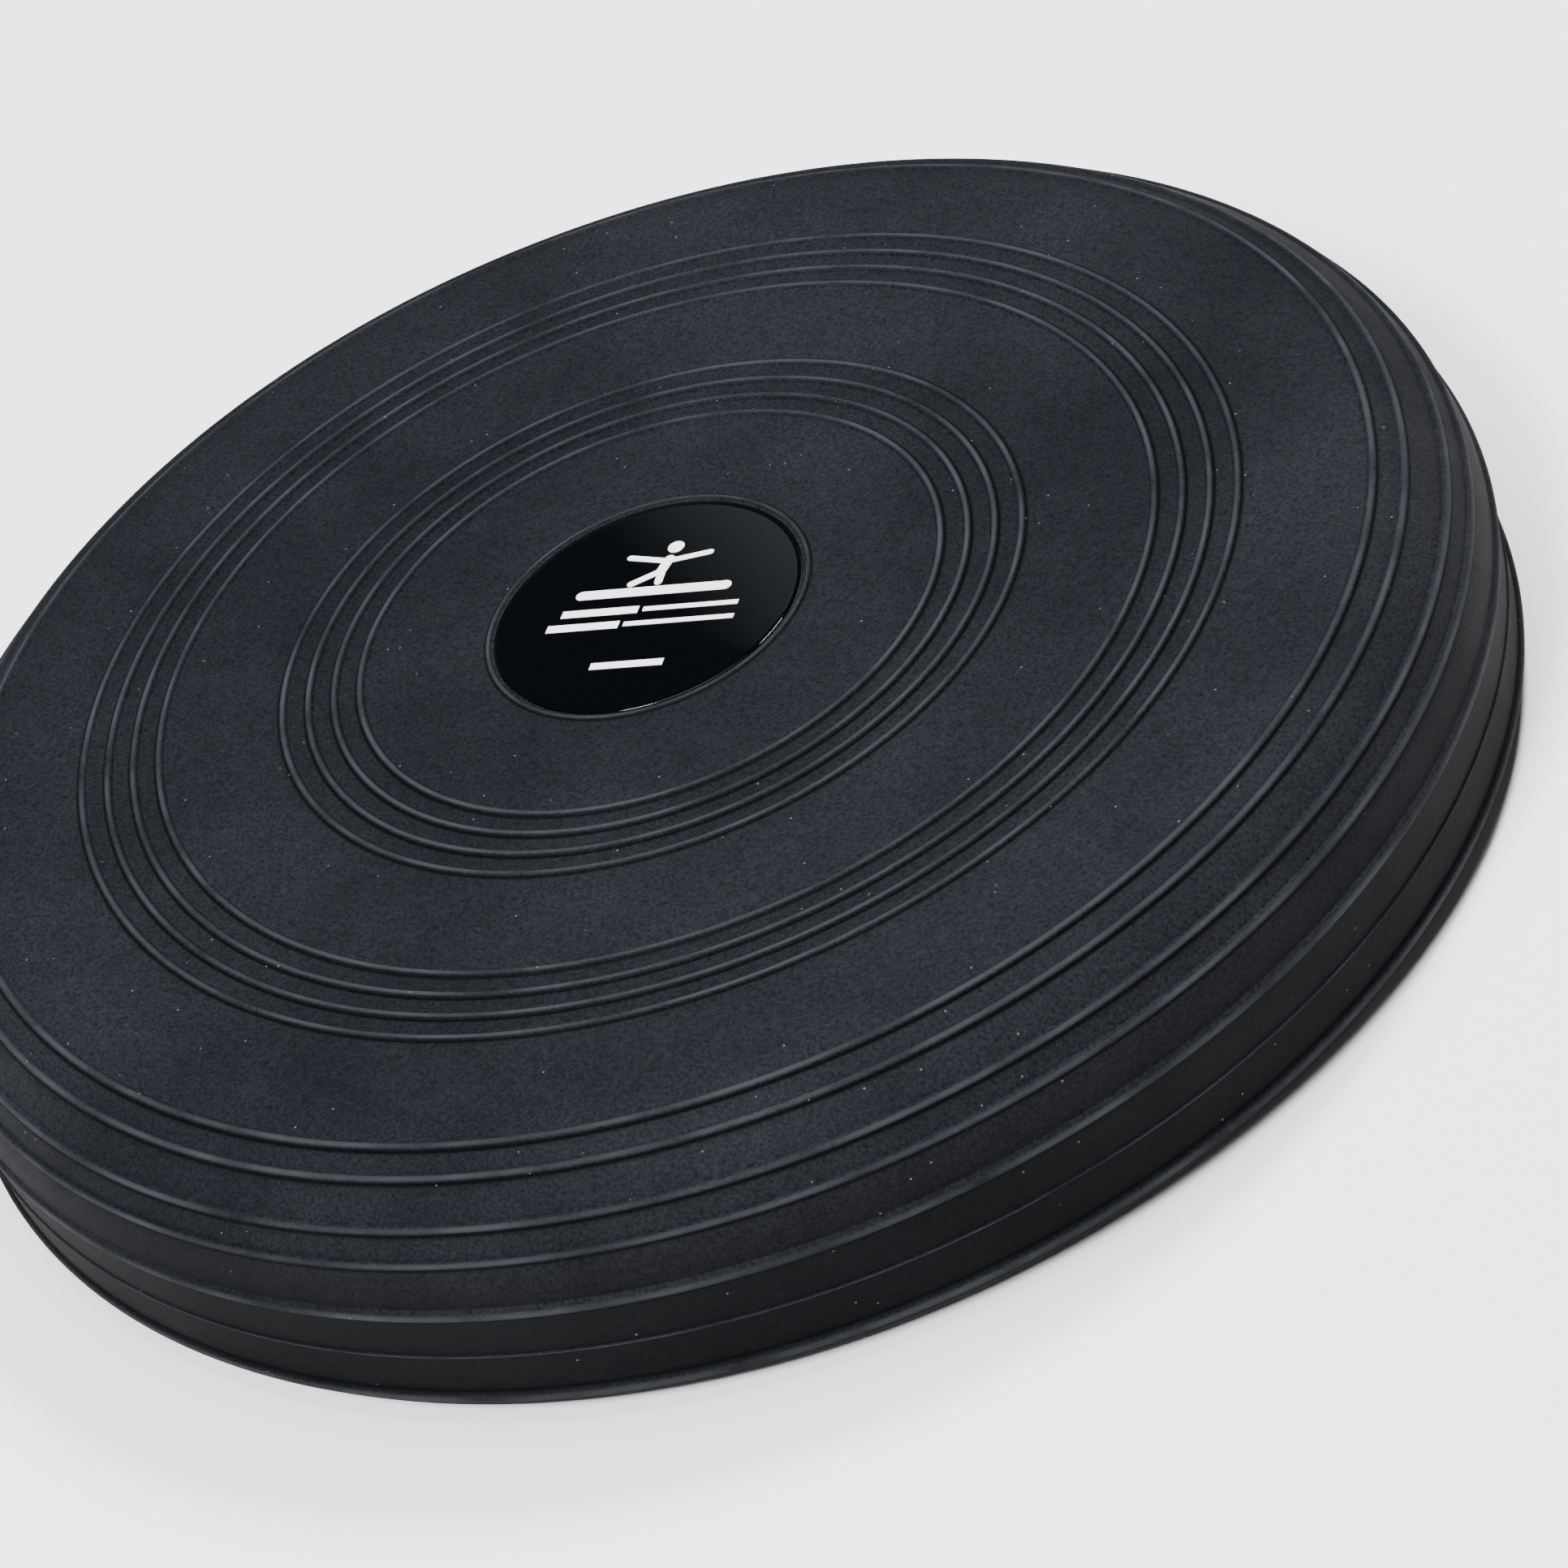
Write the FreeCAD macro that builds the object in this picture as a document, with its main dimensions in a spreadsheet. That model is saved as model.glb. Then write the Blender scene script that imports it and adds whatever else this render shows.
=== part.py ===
"""Inflatable balance pad: a deep upper and a shallow lower moulded half, both ringed, a round printed
label set into the top, and an air valve with a pull-out plug in the side wall.

+Z is up. The origin is on the floor under the middle of the pad. The valve faces +Y and the
label reads along +X.
"""

import FreeCAD
import Part
import os

import Sketcher

SIZES = [
    # overall form
    ("pad_radius", 162.8, "radius of the plain side wall"),
    ("upper_depth", 36.0, "flat top to the joint line, blown up"),
    ("lower_depth", 17.0, "joint line to the flat underside"),
    ("upper_edge", 26.0, "rounding of the upper edge"),
    ("lower_edge", 6.5, "rounding of the lower edge"),
    ("wall", 3.2, "thickness of the moulded wall"),
    # raised rings and the joint line
    ("bead_radius", 0.95, "section radius of a ring on the flats"),
    ("bead_sink", 0.25, "depth of a ring's centre below the surface"),
    ("edge_bead_radius", 1.05, "section radius of a ring on the rounding"),
    ("grip_bead_radius", 1.4, "section radius of the stout side ring"),
    ("grip_bead_sink", 0.4, "depth of the stout ring's centre"),
    ("ring_pitch", 5.45, "spacing of the rings in a group"),
    ("inner_ring_radius", 60.0, "first ring of the inner group"),
    ("outer_ring_radius", 102.6, "first ring of the outer group"),
    ("under_pair_radius", 144.6, "first of the two outermost rings underneath"),
    ("seam_stand", 0.4, "how far the joint line stands out"),
    ("seam_half", 0.3, "half the height of the joint line"),
    # round label in the top
    ("label_radius", 31.6, "radius of the label"),
    ("label_gap", 0.3, "gap round the label in its recess"),
    ("label_glue", 0.15, "thickness of the adhesive sheet"),
    ("label_film", 0.45, "thickness of the film"),
    ("label_ink", 0.08, "thickness of the white print"),
    ("label_rim_radius", 33.1, "ring round the label"),
    ("label_rim_bead", 0.7, "section radius of that ring"),
    ("foot_radius", 33.0, "flat land in the middle of the underside"),
    # air valve along +Y, in the upper half's side wall
    ("valve_height", 27.5, "height of the valve above the floor"),
    ("boss_radius", 7.5, "radius of the moulded boss"),
    ("boss_depth", 7.0, "inner face of the boss, inward of the plain side wall"),
    ("boss_stand", 1.0, "outer face of the boss, outward of the plain side wall"),
    ("seat_radius", 5.5, "rubber seat where it passes the wall"),
    ("seat_recess", 0.4, "depth of the seat below the boss face"),
    ("seat_flange_radius", 7.0, "inner flange of the seat"),
    ("seat_flange_thick", 2.0, "thickness of that flange"),
    ("seat_tail_radius", 4.5, "inner tube of the seat"),
    ("seat_tail", 17.0, "length of the inner tube"),
    ("seat_lip", 2.0, "closed end of the inner tube"),
    ("air_hole_radius", 1.2, "air hole in the closed end"),
    ("bore_radius", 2.5, "bore for the plug and the core"),
    ("core_length", 8.5, "length of the self-closing core"),
    ("core_dish", 2.0, "depth of the core's lead-in"),
    ("plug_play", 0.05, "clearance round the plug's stem"),
    ("plug_stem", 14.0, "length of the plug's stem"),
    ("plug_head_radius", 4.6, "radius of the plug's head"),
    ("plug_head_thick", 1.5, "thickness of the plug's head"),
    ("tab_reach", 4.5, "how far the pull tab stands out of the head"),
    ("tab_half_width", 2.8, "half the width of the pull tab"),
    ("tab_thick", 1.8, "thickness of the pull tab"),
    ("tab_hole_radius", 1.1, "finger-nail hole in the pull tab"),
]

# rings on the upper rounding: angle from the vertical, in degrees
EDGE_RINGS = [
    ("edge_ring_a", 17.5),
    ("edge_ring_b", 30.8),
    ("edge_ring_c", 50.8),
    ("edge_ring_d", 64.6),
]
GRIP_RING = ("edge_ring_grip", 88.5)
RINGS_IN_GROUP = 4

# plain bars of the print: name, middle X, middle Y, length, height
PRINT_BARS = [
    ("bar_a", -9.9, -1.1, 16.6, 2.1),
    ("bar_b", 9.6, -1.1, 20.4, 1.3),
    ("bar_c", -12.4, -5.3, 15.6, 2.1),
    ("bar_d", 8.2, -5.3, 23.6, 1.3),
    ("bar_e", 0.8, -17.6, 15.6, 1.9),
]

# round-ended strokes of a figure balancing on a pad: name, length, width, X, Y, angle
PRINT_STROKES = [
    ("stroke_pad", 31.0, 2.6, -15.5, 4.4, 0.0),
    ("stroke_leg", 4.6, 1.7, 0.3, 7.0, 92.0),
    ("stroke_knee", 6.2, 1.7, -0.3, 10.2, -148.0),
    ("stroke_back", 3.4, 2.3, 0.0, 10.6, 78.0),
    ("stroke_arm_left", 8.6, 1.5, 0.3, 13.4, 168.0),
    ("stroke_arm_right", 8.6, 1.5, 0.8, 13.4, 12.0),
]
HEAD_RADIUS = ("head_radius", 1.75, "head of the figure")
HEAD_HEIGHT = ("head_height", 17.6, "height of the head on the label")

doc = FreeCAD.newDocument("balance_pad")


def fill_sheet():
    """One spreadsheet holds every driving size under its own alias."""
    rows = list(SIZES) + [HEAD_RADIUS, HEAD_HEIGHT]
    for name, angle in EDGE_RINGS + [GRIP_RING]:
        rows.append((name, angle, "ring on the rounding, degrees"))
    for name, mid_x, mid_y, length, height in PRINT_BARS:
        rows.append((name + "_mid_x", mid_x, "middle of the bar"))
        rows.append((name + "_mid_y", mid_y, "middle of the bar"))
        rows.append((name + "_length", length, "length of the bar"))
        rows.append((name + "_height", height, "height of the bar"))
    for name, length, width, start_x, start_y, angle in PRINT_STROKES:
        rows.append((name + "_length", length, "length of the stroke"))
        rows.append((name + "_width", width, "width of the stroke"))
        rows.append((name + "_start_x", start_x, "start of the stroke"))
        rows.append((name + "_start_y", start_y, "start of the stroke"))
        rows.append((name + "_angle", angle, "direction of the stroke, degrees"))
    sheet = doc.addObject("Spreadsheet::Sheet", "Sizes")
    for number, (name, value, note) in enumerate(rows, start=1):
        sheet.set(f"A{number}", name)
        sheet.set(f"B{number}", str(value))
        sheet.set(f"C{number}", note)
        sheet.setAlias(f"B{number}", name)
    doc.recompute()
    return sheet


SHEET = fill_sheet()


def ex(text):
    """Expression text in which @name stands for a cell of the sheet."""
    return text.replace("@", "Sizes.")


def number_of(text):
    return float(SHEET.evalExpression(ex(text)))


STAND = "(@bead_radius - @bead_sink)"
TOP = f"({STAND} + @lower_depth + @upper_depth)"
LABEL_DEPTH = "(@label_glue + @label_film)"
BOSS_INNER = "(@pad_radius - @boss_depth)"
BOSS_OUTER = "(@pad_radius + @boss_stand)"
SEAT_FACE = f"({BOSS_OUTER} - @seat_recess)"
SEAT_END = f"({BOSS_INNER} - @seat_flange_thick - @seat_tail)"


def above(depth_text):
    """Height of a point this far below the plain top."""
    return f"({TOP} - ({depth_text}))"


def below(depth_text):
    """Height of a point this far above the plain underside."""
    return f"({STAND} + ({depth_text}))"


# sketches tied to the sheet ---------------------------------------------------------------


def new_body(label):
    body = doc.addObject("PartDesign::Body", label)
    body.Label = label
    return body


def new_sketch(body, name, role, lift=None):
    """A sketch on one of the body's own planes, moved along that plane's normal by lift."""
    sketch = body.newObject("Sketcher::SketchObject", name)
    plane = next(o for o in body.Origin.OriginFeatures if o.Role == role)
    sketch.AttachmentSupport = (plane, [""])
    sketch.MapMode = "FlatFace"
    if lift:
        sketch.setExpression("AttachmentOffset.Base.z", ex(lift))
    return sketch


def pin(sketch, geometry, position, x_text, y_text):
    """Holds one point of the sketch at two sheet expressions."""
    for axis, text in (("DistanceX", x_text), ("DistanceY", y_text)):
        rule = Sketcher.Constraint(axis, -1, 1, geometry, position, number_of(text))
        number = sketch.addConstraint(rule)
        sketch.setExpression(f"Constraints[{number}]", ex(text))


def size_radius(sketch, geometry, radius_text):
    rule = Sketcher.Constraint("Radius", geometry, number_of(radius_text))
    number = sketch.addConstraint(rule)
    sketch.setExpression(f"Constraints[{number}]", ex(radius_text))


def outline(sketch, corners, arcs=None):
    """A closed outline through the corners.

    arcs maps a corner's number to (radius, middle X, middle Y) of the arc that leaves it.
    """
    arcs = arcs or {}
    points = [FreeCAD.Vector(number_of(x), number_of(y), 0) for x, y in corners]
    pieces = []
    for number, start in enumerate(points):
        end = points[(number + 1) % len(points)]
        if number in arcs:
            radius_text, mid_x, mid_y = arcs[number]
            middle = FreeCAD.Vector(number_of(mid_x), number_of(mid_y), 0)
            geometry = sketch.addGeometry(Part.Arc(start, middle, end), False)
            size_radius(sketch, geometry, radius_text)
        else:
            geometry = sketch.addGeometry(Part.LineSegment(start, end), False)
        forward = (sketch.getPoint(geometry, 1) - start).Length < 1e-6
        pieces.append((geometry, 1, 2) if forward else (geometry, 2, 1))
    for number, (geometry, head, _) in enumerate(pieces):
        before, _, tail = pieces[number - 1]
        sketch.addConstraint(Sketcher.Constraint("Coincident", before, tail, geometry, head))
        pin(sketch, geometry, head, *corners[number])


def circle(sketch, x_text, y_text, radius_text):
    centre = FreeCAD.Vector(number_of(x_text), number_of(y_text), 0)
    ring = Part.Circle(centre, FreeCAD.Vector(0, 0, 1), number_of(radius_text))
    geometry = sketch.addGeometry(ring, False)
    size_radius(sketch, geometry, radius_text)
    pin(sketch, geometry, 3, x_text, y_text)


def turn(body, sketch, name, kind="Revolution"):
    """Revolution (or Groove) of a sketch about its own vertical axis."""
    feature = body.newObject("PartDesign::" + kind, name)
    feature.Profile = sketch
    feature.ReferenceAxis = (sketch, ["V_Axis"])
    feature.Angle = 360
    body.Tip = feature
    doc.recompute()
    return feature


def step_section(sketch, inner, outer, low, high):
    """A rectangle from the inner to the outer radius, between two heights."""
    outline(sketch, [(inner, low), (outer, low), (outer, high), (inner, high)])


# the two moulded halves -------------------------------------------------------------------


def wall_section(sketch, level, depth, edge):
    """Flat face, quarter-round edge and short upright wall that ends in the joint line."""
    inner_edge = f"({edge} - @wall)"
    flat = f"(@pad_radius - {edge})"
    corners = [
        ("0", level("0")),
        (flat, level("0")),
        ("@pad_radius", level(edge)),
        ("@pad_radius", level(f"{depth} - @seam_half")),
        ("@pad_radius + @seam_stand", level(f"{depth} - @seam_half / 3")),
        ("@pad_radius + @seam_stand", level(depth)),
        ("@pad_radius - @wall", level(depth)),
        ("@pad_radius - @wall", level(edge)),
        (flat, level("@wall")),
        ("0", level("@wall")),
    ]
    arcs = {}
    for number, radius in ((1, edge), (7, inner_edge)):
        mid_x = f"{flat} + {radius} * sin(45)"
        mid_y = level(f"{edge} - {radius} * cos(45)")
        arcs[number] = (radius, mid_x, mid_y)
    outline(sketch, corners, arcs)


def flat_rings(sketch, level, first, count):
    """Rings on a flat face, one pitch apart."""
    for number in range(count):
        radius = f"{first} + {number} * @ring_pitch"
        circle(sketch, radius, level("@bead_sink"), "@bead_radius")


def edge_ring(sketch, level, edge, name, size, sink):
    """One ring on a rounded edge, at its angle from the vertical."""
    reach = f"({edge} - {sink})"
    x_text = f"@pad_radius - {edge} + {reach} * sin(@{name})"
    y_text = level(f"{edge} - {reach} * cos(@{name})")
    circle(sketch, x_text, y_text, size)


def moulded_half(label, level, depth, edge):
    """One half with its two groups of rings and its stout side ring."""
    body = new_body(label)
    wall = new_sketch(body, label + "_wall_section", "XZ_Plane")
    wall_section(wall, level, depth, edge)
    turn(body, wall, label + "_wall")
    rings = new_sketch(body, label + "_ring_sections", "XZ_Plane")
    for first in ("@inner_ring_radius", "@outer_ring_radius"):
        flat_rings(rings, level, first, RINGS_IN_GROUP)
    edge_ring(rings, level, edge, GRIP_RING[0], "@grip_bead_radius", "@grip_bead_sink")
    turn(body, rings, label + "_rings")
    return body


def make_upper_shell():
    body = moulded_half("upper_shell", above, "@upper_depth", "@upper_edge")
    edge = new_sketch(body, "edge_ring_sections", "XZ_Plane")
    for name, _ in EDGE_RINGS:
        edge_ring(edge, above, "@upper_edge", name, "@edge_bead_radius", "@bead_sink")
    turn(body, edge, "edge_rings")
    rim = new_sketch(body, "label_rim_section", "XZ_Plane")
    circle(rim, "@label_rim_radius", above("@bead_sink"), "@label_rim_bead")
    turn(body, rim, "label_rim")
    recess = new_sketch(body, "label_recess_section", "XZ_Plane")
    recess_radius = "@label_radius + @label_gap"
    step_section(recess, "0", recess_radius, above(LABEL_DEPTH), above("-2"))
    turn(body, recess, "label_recess", "Groove")
    boss = new_sketch(body, "boss_section", "XY_Plane", "@valve_height")
    step_section(boss, "0", "@boss_radius", BOSS_INNER, BOSS_OUTER)
    turn(body, boss, "boss")
    hole = new_sketch(body, "seat_hole_section", "XY_Plane", "@valve_height")
    step_section(hole, "0", "@seat_radius", f"{BOSS_INNER} - 4", f"{BOSS_OUTER} + 4")
    turn(body, hole, "seat_hole", "Groove")
    return body


def make_lower_shell():
    body = moulded_half("lower_shell", below, "@lower_depth", "@lower_edge")
    pair = new_sketch(body, "under_pair_section", "XZ_Plane")
    flat_rings(pair, below, "@under_pair_radius", 2)
    turn(body, pair, "under_pair")
    foot = new_sketch(body, "foot_section", "XZ_Plane")
    step_section(foot, "0", "@foot_radius", "0", below("@wall / 2"))
    turn(body, foot, "foot")
    return body


# the label --------------------------------------------------------------------------------


def make_disc(label, bottom_text, thick_text):
    disc = doc.addObject("Part::Cylinder", label)
    disc.Label = label
    disc.setExpression("Radius", ex("@label_radius"))
    disc.setExpression("Height", ex(thick_text))
    disc.setExpression("Placement.Base.z", ex(bottom_text))
    return disc


def stroke_block(name, length_text, width_text):
    block = doc.addObject("Part::Box", name)
    block.setExpression("Length", ex(length_text))
    block.setExpression("Width", ex(width_text))
    block.setExpression("Height", ex("@label_ink"))
    return block


def dot(name, x_text, y_text, radius_text):
    spot = doc.addObject("Part::Cylinder", name)
    spot.setExpression("Radius", ex(radius_text))
    spot.setExpression("Height", ex("@label_ink"))
    spot.setExpression("Placement.Base.x", ex(x_text))
    spot.setExpression("Placement.Base.y", ex(y_text))
    spot.setExpression("Placement.Base.z", ex(TOP))
    return spot


def make_stroke(name):
    """A round-ended stroke: a block and a dot at each end."""
    across = f"@{name}_width / 2"
    x_text = f"@{name}_start_x"
    y_text = f"@{name}_start_y"
    block = stroke_block(name, f"@{name}_length", f"@{name}_width")
    block.Placement.Rotation = FreeCAD.Rotation(FreeCAD.Vector(0, 0, 1), 1)
    block.setExpression("Placement.Rotation.Angle", ex(f"@{name}_angle * 1 deg"))
    block.setExpression("Placement.Base.x", ex(f"{x_text} + {across} * sin(@{name}_angle)"))
    block.setExpression("Placement.Base.y", ex(f"{y_text} - {across} * cos(@{name}_angle)"))
    block.setExpression("Placement.Base.z", ex(TOP))
    end_x = f"{x_text} + @{name}_length * cos(@{name}_angle)"
    end_y = f"{y_text} + @{name}_length * sin(@{name}_angle)"
    start = dot(name + "_start", x_text, y_text, across)
    end = dot(name + "_end", end_x, end_y, across)
    return [block, start, end]


def make_figure():
    """White print: a figure balancing on a pad."""
    pieces = [dot("head", "1.1", "@head_height", "@head_radius")]
    for name, *_ in PRINT_STROKES:
        pieces += make_stroke(name)
    figure = doc.addObject("Part::MultiFuse", "label_figure")
    figure.Label = "label_figure"
    figure.Shapes = pieces
    return figure


def make_bar(name):
    """White print: one plain bar."""
    bar = stroke_block(name, f"@{name}_length", f"@{name}_height")
    bar.setExpression("Placement.Base.x", ex(f"@{name}_mid_x - @{name}_length / 2"))
    bar.setExpression("Placement.Base.y", ex(f"@{name}_mid_y - @{name}_height / 2"))
    bar.setExpression("Placement.Base.z", ex(TOP))
    return bar


def make_bars():
    bars = doc.addObject("Part::MultiFuse", "label_bars")
    bars.Label = "label_bars"
    bars.Shapes = [make_bar(name) for name, *_ in PRINT_BARS]
    return bars


# the air valve ----------------------------------------------------------------------------


def make_valve_seat():
    """Rubber seat: flange inside the boss, tube through the wall, closed inner tube."""
    flange = f"({BOSS_INNER} - @seat_flange_thick)"
    body = new_body("valve_seat")
    section = new_sketch(body, "seat_section", "XY_Plane", "@valve_height")
    corners = [
        ("@air_hole_radius", SEAT_END),
        ("@seat_tail_radius", SEAT_END),
        ("@seat_tail_radius", flange),
        ("@seat_flange_radius", flange),
        ("@seat_flange_radius", BOSS_INNER),
        ("@seat_radius", BOSS_INNER),
        ("@seat_radius", SEAT_FACE),
        ("@bore_radius", SEAT_FACE),
        ("@bore_radius", f"{SEAT_END} + @seat_lip"),
        ("@air_hole_radius", f"{SEAT_END} + @seat_lip"),
    ]
    outline(section, corners)
    turn(body, section, "seat_turned")
    return body


def make_valve_core():
    """Soft slug that closes round an inflation needle, with a dished lead-in."""
    start = f"({SEAT_END} + @seat_lip)"
    body = new_body("valve_core")
    section = new_sketch(body, "core_section", "XY_Plane", "@valve_height")
    corners = [
        ("0", start),
        ("@bore_radius", start),
        ("@bore_radius", f"{start} + @core_length"),
        ("@air_hole_radius", f"{start} + @core_length"),
        ("0", f"{start} + @core_length - @core_dish"),
    ]
    outline(section, corners)
    turn(body, section, "core_turned")
    return body


def make_valve_plug():
    """Plug: stem in the bore, round head on the seat and a flat pull tab."""
    stem_radius = "(@bore_radius - @plug_play)"
    stem_end = f"({SEAT_FACE} - @plug_stem)"
    head = f"({SEAT_FACE} + @plug_head_thick)"
    body = new_body("valve_plug")
    section = new_sketch(body, "plug_section", "XY_Plane", "@valve_height")
    corners = [
        ("0", stem_end),
        (f"{stem_radius} / 2", stem_end),
        (stem_radius, f"{stem_end} + 1.5"),
        (stem_radius, SEAT_FACE),
        ("@plug_head_radius", SEAT_FACE),
        ("@plug_head_radius", f"{head} - 0.4"),
        ("@plug_head_radius - 0.4", head),
        ("0", head),
    ]
    outline(section, corners)
    turn(body, section, "plug_turned")
    tab = new_sketch(body, "tab_section", "YZ_Plane")
    low = "@valve_height - @tab_half_width"
    high = "@valve_height + @tab_half_width"
    tip = f"{head} + @tab_reach"
    outline(tab, [(f"{head} - 0.5", low), (tip, low), (tip, high), (f"{head} - 0.5", high)])
    circle(tab, f"{head} + @tab_reach / 2 + 0.3", "@valve_height", "@tab_hole_radius")
    feature = body.newObject("PartDesign::Pad", "tab")
    feature.Profile = tab
    feature.setExpression("Length", ex("@tab_thick"))
    feature.Midplane = True
    body.Tip = feature
    doc.recompute()
    return body


# everything -------------------------------------------------------------------------------


def make_all():
    return [
        make_upper_shell(),
        make_lower_shell(),
        make_disc("label_adhesive", above(LABEL_DEPTH), "@label_glue"),
        make_disc("label_film", above("@label_film"), "@label_film"),
        make_figure(),
        make_bars(),
        make_valve_seat(),
        make_valve_core(),
        make_valve_plug(),
    ]


def check(sub_parts):
    """Stops if an object failed or a sub-part has no valid solid."""
    for item in doc.Objects:
        if "Invalid" in item.State or "Error" in item.State:
            raise RuntimeError(f"{item.Name} failed: {item.State}")
    for part in sub_parts:
        shape = part.Shape
        if shape.isNull() or not shape.isValid() or not shape.Solids:
            raise RuntimeError(f"{part.Label} has no valid solid")


def write(sub_parts):
    os.makedirs("parts", exist_ok=True)
    for part in sub_parts:
        part.Shape.exportStep(f"parts/{part.Label}.step")
        volume = sum(solid.Volume for solid in part.Shape.Solids)
        print(part.Label, len(part.Shape.Solids), "solid(s)", round(volume, 1), "mm3")


PARTS = make_all()
doc.recompute()
check(PARTS)
write(PARTS)
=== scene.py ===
import math

import bpy
from mathutils import Matrix, Vector, noise


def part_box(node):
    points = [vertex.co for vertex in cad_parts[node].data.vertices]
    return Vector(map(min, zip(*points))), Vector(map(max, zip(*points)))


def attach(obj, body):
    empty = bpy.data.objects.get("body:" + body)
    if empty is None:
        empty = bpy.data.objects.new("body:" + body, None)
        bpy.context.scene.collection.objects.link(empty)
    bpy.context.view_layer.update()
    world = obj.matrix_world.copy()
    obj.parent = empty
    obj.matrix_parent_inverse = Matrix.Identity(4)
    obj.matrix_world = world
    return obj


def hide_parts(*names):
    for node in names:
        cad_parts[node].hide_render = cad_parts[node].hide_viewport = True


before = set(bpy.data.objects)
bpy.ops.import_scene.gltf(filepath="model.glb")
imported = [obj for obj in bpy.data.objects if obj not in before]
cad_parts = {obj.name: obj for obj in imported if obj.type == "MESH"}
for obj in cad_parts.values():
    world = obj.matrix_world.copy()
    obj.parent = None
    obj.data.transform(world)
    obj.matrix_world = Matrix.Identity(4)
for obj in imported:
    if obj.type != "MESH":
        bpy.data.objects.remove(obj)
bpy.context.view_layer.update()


# ---- Upper moulded half ---------------------------------------------------------------
# Soft black vinyl, moulded with a fine sparked grain, blown up tight. Two groups of four
# rings stand on the flat top, four more on the rounded edge and a stout one on the side.

MM = 0.001
WALL = 3.2 * MM
UPPER_EDGE = 26 * MM
RING_STAND = 0.7 * MM
RING_HALF = 0.9 * MM
EDGE_RING_STAND = 0.8 * MM
EDGE_RING_HALF = 1.0 * MM
GRIP_RING_STAND = 1.0 * MM
GRIP_RING_HALF = 1.35 * MM
RING_PITCH = 5.45 * MM
GROUP_STARTS = (60 * MM, 102.6 * MM)
EDGE_RING_ANGLES = (17.5, 30.8, 50.8, 64.6)
GRIP_RING_ANGLE = 88.5
HOLE_RADIUS = 6.4 * MM
LABEL_RIM_RADIUS = 33.1 * MM
LABEL_RIM_STAND = 0.45 * MM
LABEL_RIM_HALF = 0.65 * MM
RECESS_RADIUS = 31.9 * MM
RECESS_DEPTH = 0.6 * MM
CHANNEL_DEPTH = 0.15 * MM
CHANNEL_SLOPE = 1.2 * MM
CROWN_POWER = 0.62
FILLET_RISE = 0.12
FILLET_REACH = 1.6
FOOT_LINE_AT = 1.1
FOOT_LINE_HALF = 0.55
SEAM_STAND = 0.4 * MM
SEAM_HALF = 0.3 * MM
SEGMENTS = 420
PLAIN_STEPS = 74
RING_STEPS = 9
CLOSEST_STEP = 0.09 * MM
SWAY_SCALE = 22
SHARP_ANGLE = math.radians(55)

upper_low, upper_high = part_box("upper_shell")
lower_low, lower_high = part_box("lower_shell")
top_z = upper_high.z - RING_STAND
base_z = lower_low.z + RING_STAND
seam_z = upper_low.z
pad_radius = round(upper_high.x - GRIP_RING_STAND, 4)
upper_depth = top_z - seam_z


def edge_ring(angle, edge, half, stand):
    """A ring on a rounded edge: how far along the skin, half width, how far it stands out."""
    return pad_radius - edge + edge * math.radians(angle), half, stand


def flat_rings():
    """The two groups on the flat of each half."""
    rings = []
    for start in GROUP_STARTS:
        for number in range(4):
            rings.append((start + number * RING_PITCH, RING_HALF, RING_STAND))
    return rings


def ring_rise(away, half, stand):
    """Section of one ring: a half round with a soft fillet at its foot."""
    reach = abs(away) / half
    crown = max(0.0, 1 - reach * reach) ** CROWN_POWER
    fillet = FILLET_RISE * max(0.0, 1 - reach / FILLET_REACH) ** 2
    return stand * max(crown, fillet)


def channel_dip(along):
    """The skin lies a little lower between the rings of a group."""
    dip = 0.0
    for start in GROUP_STARTS:
        end = start + 3 * RING_PITCH
        inside = min(along - start, end - along) / CHANNEL_SLOPE
        dip -= CHANNEL_DEPTH * min(1.0, max(0.0, inside))
    return dip


def skin_point(along, out, edge):
    """A point of the section: radius, depth below the plain face. out is along the normal."""
    flat = pad_radius - edge
    if along <= flat:
        return along, -out
    if along <= flat + edge * math.pi / 2:
        angle = (along - flat) / edge
        reach = edge + out
        return flat + reach * math.sin(angle), edge - reach * math.cos(angle)
    return pad_radius + out, edge + along - flat - edge * math.pi / 2


def skin_samples(rings, first, edge, depth):
    """Distances along the skin: close together over each ring, wide apart between them."""
    flat = pad_radius - edge
    last = flat + edge * math.pi / 2 + depth - edge - SEAM_HALF
    step = (last - first) / PLAIN_STEPS
    samples = {round(first + step * number, 6) for number in range(PLAIN_STEPS + 1)}
    bend = int(edge / MM)
    samples |= {round(flat + edge * math.pi / 2 * number / bend, 6) for number in range(bend + 1)}
    for along, half, _ in rings:
        near = FILLET_REACH * half
        steps = range(-RING_STEPS, RING_STEPS + 1)
        spots = [along + number / RING_STEPS * near for number in steps]
        spots += [along - 2.4 * half, along + 2.4 * half]
        samples |= {round(spot, 6) for spot in spots if first < spot < last}
    samples |= {round(last - 0.5 * MM, 6), round(last - 0.12 * MM, 6)}
    ordered = sorted(samples)
    kept = [ordered[0]]
    for spot in ordered[1:]:
        if spot - kept[-1] > CLOSEST_STEP:
            kept.append(spot)
    return kept


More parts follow.
